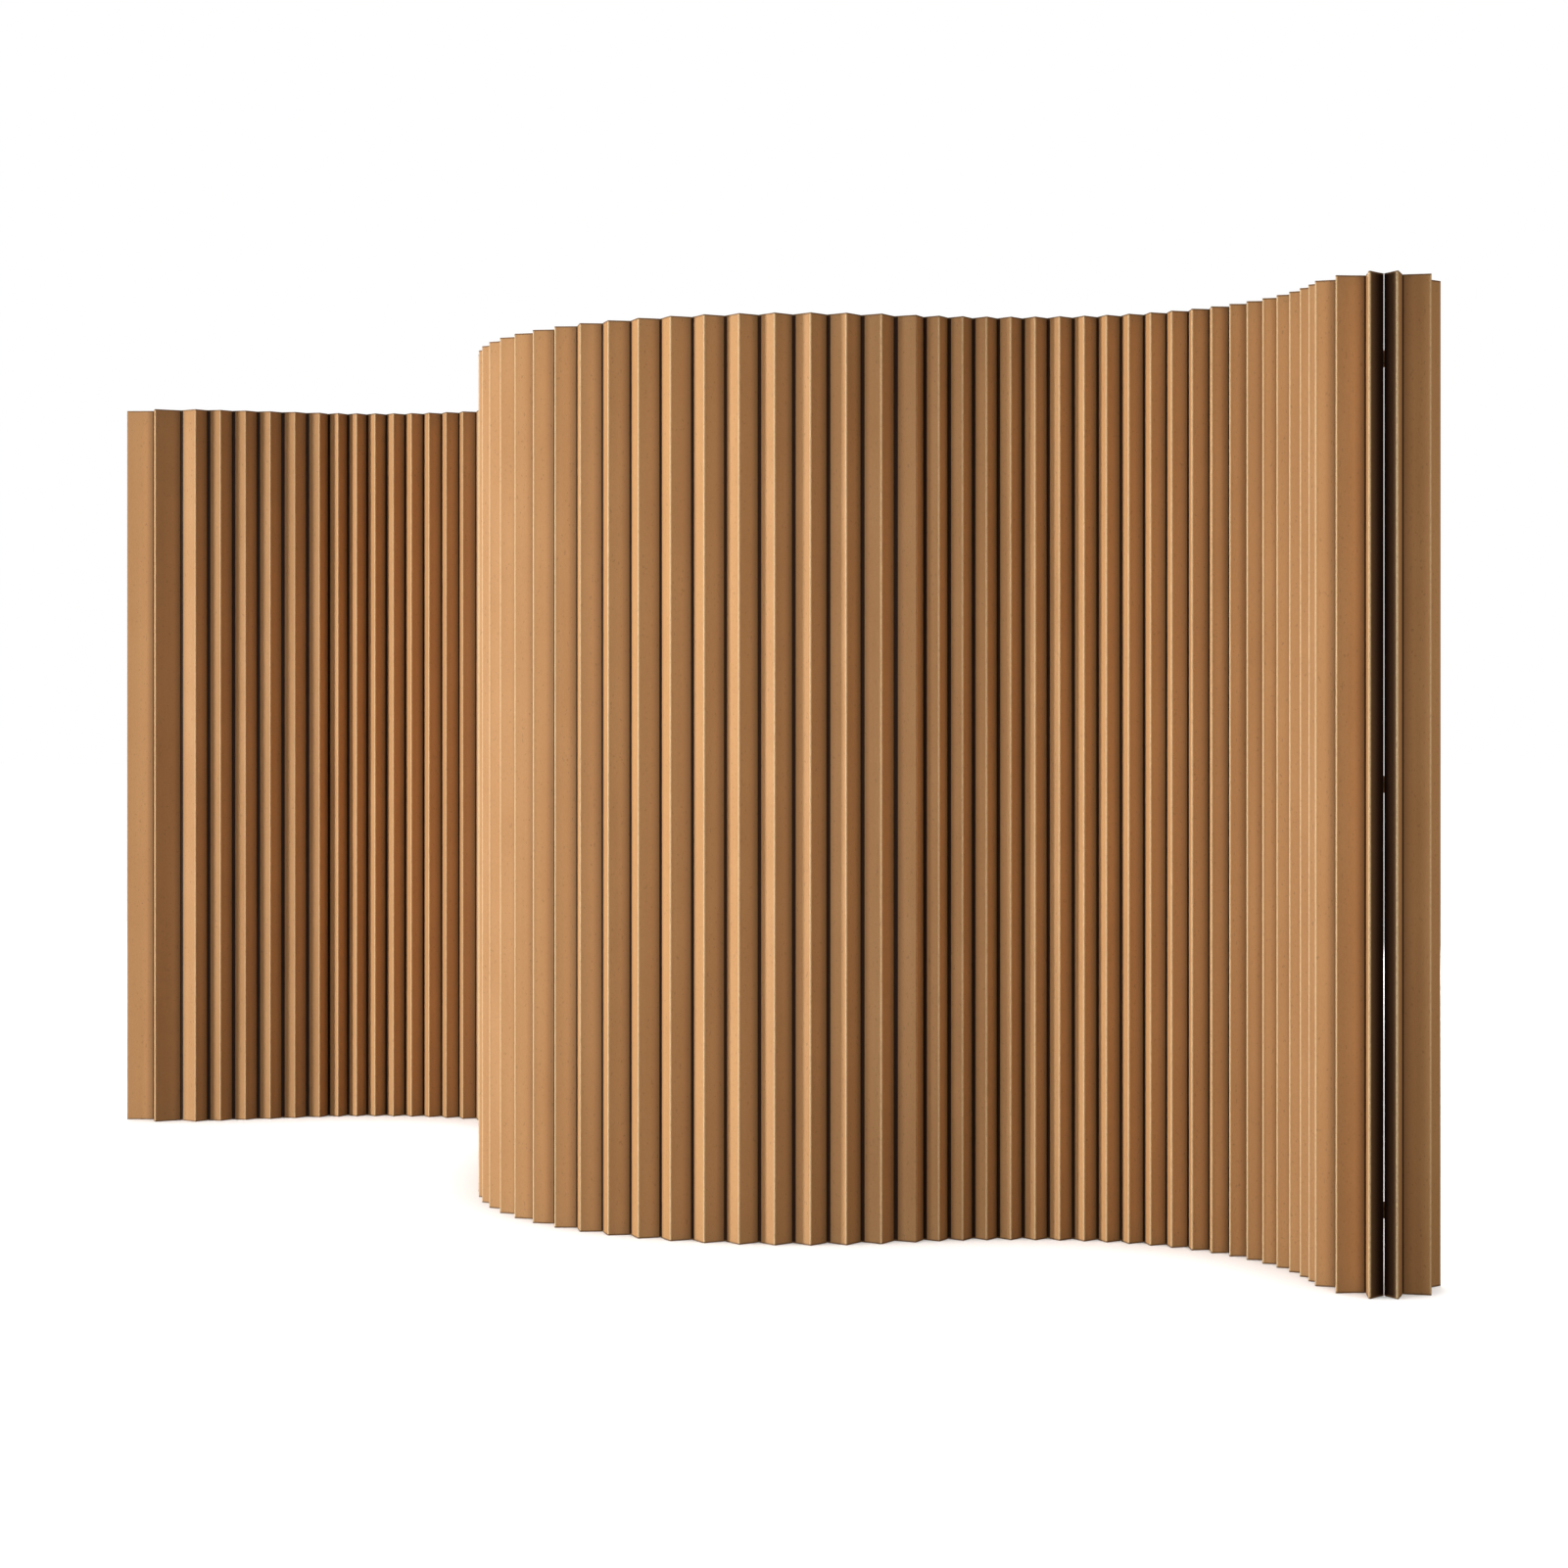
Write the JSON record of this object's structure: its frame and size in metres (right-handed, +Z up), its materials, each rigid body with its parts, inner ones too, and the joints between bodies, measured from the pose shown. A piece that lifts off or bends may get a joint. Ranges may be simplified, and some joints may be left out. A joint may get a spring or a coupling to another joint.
{
  "type": "pleated paper screen",
  "caption": "Free-standing room divider of kraft board folded into tall zigzag pleats, which stands in one winding S-shaped line and opens or closes like a concertina.",
  "frame": {"origin": "on the floor, under the middle of the whole screen's box as it stands", "axes": "+Z up; +X to the right of a viewer in front of the screen, from the tail's free end towards the return; +Y away from that viewer, towards the back"},
  "size_m": [2.8162, 2.3351, 1.8],
  "materials": {
    "kraft_board": "matt brown kraft liner with fine fibres, pale worn folds and darker cut edges",
    "kraft_tape": "smooth gummed kraft paper tape, slightly paler than the board"
  },
  "bodies": {
    "tail_pleats_01": {"tail_pleats_01": "kraft_board"},
    "tail_pleats_02": {"tail_pleats_02": "kraft_board"},
    "tail_pleats_03": {"tail_pleats_03": "kraft_board"},
    "tail_pleats_04": {"tail_pleats_04": "kraft_board"},
    "tail_pleats_05": {"tail_pleats_05": "kraft_board"},
    "tail_pleats_06": {"tail_pleats_06": "kraft_board"},
    "tail_pleats_07": {"tail_pleats_07": "kraft_board"},
    "tail_pleats_08": {"tail_pleats_08": "kraft_board"},
    "tail_pleats_09": {"tail_pleats_09": "kraft_board"},
    "tail_pleats_10": {"tail_pleats_10": "kraft_board"},
    "tail_lap": {"tail_pleats_11": "kraft_board", "tail_lap_tape": "kraft_tape", "bow_pleats_01": "kraft_board"},
    "bow_pleats_02": {"bow_pleats_02": "kraft_board"},
    "bow_pleats_03": {"bow_pleats_03": "kraft_board"},
    "bow_pleats_04": {"bow_pleats_04": "kraft_board"},
    "bow_pleats_05": {"bow_pleats_05": "kraft_board"},
    "bow_pleats_06": {"bow_pleats_06": "kraft_board"},
    "bow_pleats_07": {"bow_pleats_07": "kraft_board"},
    "bow_pleats_08": {"bow_pleats_08": "kraft_board"},
    "bow_pleats_09": {"bow_pleats_09": "kraft_board"},
    "bow_pleats_10": {"bow_pleats_10": "kraft_board"},
    "bow_pleats_11": {"bow_pleats_11": "kraft_board"},
    "hook_lap": {"bow_pleats_12": "kraft_board", "hook_lap_tape": "kraft_tape", "hook_pleats_01": "kraft_board"},
    "hook_pleats_02": {"hook_pleats_02": "kraft_board"},
    "hook_pleats_03": {"hook_pleats_03": "kraft_board"},
    "hook_pleats_04": {"hook_pleats_04": "kraft_board"},
    "hook_pleats_05": {"hook_pleats_05": "kraft_board"},
    "hook_pleats_06": {"hook_pleats_06": "kraft_board"},
    "hook_pleats_07": {"hook_pleats_07": "kraft_board"},
    "hook_pleats_08": {"hook_pleats_08": "kraft_board"},
    "hook_pleats_09": {"hook_pleats_09": "kraft_board"},
    "hook_pleats_10": {"hook_pleats_10": "kraft_board"},
    "hook_pleats_11": {"hook_pleats_11": "kraft_board"},
    "hook_pleats_12": {"hook_pleats_12": "kraft_board", "seam_tabs": "kraft_tape"},
    "return_pleats_01": {"return_pleats_01": "kraft_board"},
    "return_pleats_02": {"return_pleats_02": "kraft_board"},
    "return_pleats_03": {"return_pleats_03": "kraft_board"}
  },
  "joints": [
    {"name": "tail_crease_01", "type": "hinge", "parent": "tail_pleats_02", "child": "tail_pleats_01", "pos_m": [-1.3394, 1.08184, 0.9], "axis": [0, 0, 1], "range_deg": [-40, 60]},
    {"name": "tail_crease_02", "type": "hinge", "parent": "tail_pleats_03", "child": "tail_pleats_02", "pos_m": [-1.16605, 1.05855, 0.9], "axis": [0, 0, -1], "range_deg": [-20, 20]},
    {"name": "tail_crease_03", "type": "hinge", "parent": "tail_pleats_04", "child": "tail_pleats_03", "pos_m": [-1.01944, 1.1138, 0.9], "axis": [0, 0, 1], "range_deg": [-20, 20]},
    {"name": "tail_crease_04", "type": "hinge", "parent": "tail_pleats_05", "child": "tail_pleats_04", "pos_m": [-0.87896, 1.13336, 0.9], "axis": [0, 0, -1], "range_deg": [-20, 20]},
    {"name": "tail_crease_05", "type": "hinge", "parent": "tail_pleats_06", "child": "tail_pleats_05", "pos_m": [-0.76047, 1.16461, 0.9], "axis": [0, 0, 1], "range_deg": [-20, 20]},
    {"name": "tail_crease_06", "type": "hinge", "parent": "tail_pleats_07", "child": "tail_pleats_06", "pos_m": [-0.64477, 1.12426, 0.9], "axis": [0, 0, -1], "range_deg": [-20, 20]},
    {"name": "tail_crease_07", "type": "hinge", "parent": "tail_pleats_08", "child": "tail_pleats_07", "pos_m": [-0.52279, 1.10339, 0.9], "axis": [0, 0, 1], "range_deg": [-20, 20]},
    {"name": "tail_crease_08", "type": "hinge", "parent": "tail_pleats_09", "child": "tail_pleats_08", "pos_m": [-0.44143, 1.00674, 0.9], "axis": [0, 0, -1], "range_deg": [-20, 20]},
    {"name": "tail_crease_09", "type": "hinge", "parent": "tail_pleats_10", "child": "tail_pleats_09", "pos_m": [-0.36199, 0.9085, 0.9], "axis": [0, 0, 1], "range_deg": [-20, 20]},
    {"name": "tail_crease_10", "type": "hinge", "parent": "tail_lap", "child": "tail_pleats_10", "pos_m": [-0.36951, 0.78239, 0.9], "axis": [0, 0, -1], "range_deg": [-20, 20]},
    {"name": "bow_crease_01", "type": "hinge", "parent": "bow_pleats_02", "child": "tail_lap", "pos_m": [-0.36693, 0.62847, 0.9], "axis": [0, 0, 1], "range_deg": [-20, 20]},
    {"name": "bow_crease_02", "type": "hinge", "parent": "bow_pleats_03", "child": "bow_pleats_02", "pos_m": [-0.41198, 0.46007, 0.9], "axis": [0, 0, -1], "range_deg": [-20, 20]},
    {"name": "bow_crease_03", "type": "hinge", "parent": "bow_pleats_04", "child": "bow_pleats_03", "pos_m": [-0.39413, 0.28665, 0.9], "axis": [0, 0, 1], "range_deg": [-20, 20]},
    {"name": "bow_crease_04", "type": "hinge", "parent": "bow_pleats_05", "child": "bow_pleats_04", "pos_m": [-0.41832, 0.11401, 0.9], "axis": [0, 0, -1], "range_deg": [-20, 20]},
    {"name": "bow_crease_05", "type": "hinge", "parent": "bow_pleats_06", "child": "bow_pleats_05", "pos_m": [-0.37947, -0.05593, 0.9], "axis": [0, 0, 1], "range_deg": [-20, 20]},
    {"name": "bow_crease_06", "type": "hinge", "parent": "bow_pleats_07", "child": "bow_pleats_06", "pos_m": [-0.36764, -0.22833, 0.9], "axis": [0, 0, -1], "range_deg": [-20, 20]},
    {"name": "bow_crease_07", "type": "hinge", "parent": "bow_pleats_08", "child": "bow_pleats_07", "pos_m": [-0.26346, -0.36593, 0.9], "axis": [0, 0, 1], "range_deg": [-20, 20]},
    {"name": "bow_crease_08", "type": "hinge", "parent": "bow_pleats_08", "child": "bow_pleats_09", "pos_m": [-0.16368, -0.50675, 0.9], "axis": [0, 0, 1], "range_deg": [-20, 20]},
    {"name": "bow_crease_09", "type": "hinge", "parent": "bow_pleats_09", "child": "bow_pleats_10", "pos_m": [-0.0038, -0.57046, 0.9], "axis": [0, 0, -1], "range_deg": [-20, 20]},
    {"name": "bow_crease_10", "type": "hinge", "parent": "bow_pleats_10", "child": "bow_pleats_11", "pos_m": [0.15067, -0.64498, 0.9], "axis": [0, 0, 1], "range_deg": [-20, 20]},
    {"name": "bow_crease_11", "type": "hinge", "parent": "bow_pleats_11", "child": "hook_lap", "pos_m": [0.32126, -0.62734, 0.9], "axis": [0, 0, -1], "range_deg": [-20, 20]},
    {"name": "hook_crease_01", "type": "hinge", "parent": "hook_lap", "child": "hook_pleats_02", "pos_m": [0.53887, -0.61107, 0.9], "axis": [0, 0, 1], "range_deg": [-20, 20]},
    {"name": "hook_crease_02", "type": "hinge", "parent": "hook_pleats_02", "child": "hook_pleats_03", "pos_m": [0.65576, -0.57478, 0.9], "axis": [0, 0, -1], "range_deg": [-20, 20]},
    {"name": "hook_crease_03", "type": "hinge", "parent": "hook_pleats_03", "child": "hook_pleats_04", "pos_m": [0.77484, -0.60304, 0.9], "axis": [0, 0, 1], "range_deg": [-20, 20]},
    {"name": "hook_crease_04", "type": "hinge", "parent": "hook_pleats_04", "child": "hook_pleats_05", "pos_m": [0.89299, -0.60648, 0.9], "axis": [0, 0, -1], "range_deg": [-20, 20]},
    {"name": "hook_crease_05", "type": "hinge", "parent": "hook_pleats_05", "child": "hook_pleats_06", "pos_m": [0.98242, -0.67824, 0.9], "axis": [0, 0, 1], "range_deg": [-20, 20]},
    {"name": "hook_crease_06", "type": "hinge", "parent": "hook_pleats_06", "child": "hook_pleats_07", "pos_m": [1.08289, -0.73349, 0.9], "axis": [0, 0, -1], "range_deg": [-20, 20]},
    {"name": "hook_crease_07", "type": "hinge", "parent": "hook_pleats_07", "child": "hook_pleats_08", "pos_m": [1.12908, -0.83843, 0.9], "axis": [0, 0, 1], "range_deg": [-20, 20]},
    {"name": "hook_crease_08", "type": "hinge", "parent": "hook_pleats_08", "child": "hook_pleats_09", "pos_m": [1.19269, -0.93383, 0.9], "axis": [0, 0, -1], "range_deg": [-20, 20]},
    {"name": "hook_crease_09", "type": "hinge", "parent": "hook_pleats_09", "child": "hook_pleats_10", "pos_m": [1.18559, -1.04789, 0.9], "axis": [0, 0, 1], "range_deg": [-20, 20]},
    {"name": "hook_crease_10", "type": "hinge", "parent": "hook_pleats_10", "child": "hook_pleats_11", "pos_m": [1.25985, -1.11034, 0.9], "axis": [0, 0, -1], "range_deg": [-20, 20]},
    {"name": "hook_crease_11", "type": "hinge", "parent": "hook_pleats_11", "child": "hook_pleats_12", "pos_m": [1.2567, -1.15939, 0.9], "axis": [0, 0, 1], "range_deg": [-20, 20]},
    {"name": "seam", "type": "hinge", "parent": "hook_pleats_12", "child": "return_pleats_01", "pos_m": [1.2872, -1.13183, 0.9], "axis": [0, 0, -1], "range_deg": [-20, 20], "deforming": ["seam_tabs"]},
    {"name": "return_crease_01", "type": "hinge", "parent": "return_pleats_01", "child": "return_pleats_02", "pos_m": [1.36904, -1.12964, 0.9], "axis": [0, 0, 1], "range_deg": [-20, 20]},
    {"name": "return_crease_02", "type": "hinge", "parent": "return_pleats_02", "child": "return_pleats_03", "pos_m": [1.36531, -1.0792, 0.9], "axis": [0, 0, -1], "range_deg": [-40, 60]}
  ]
}
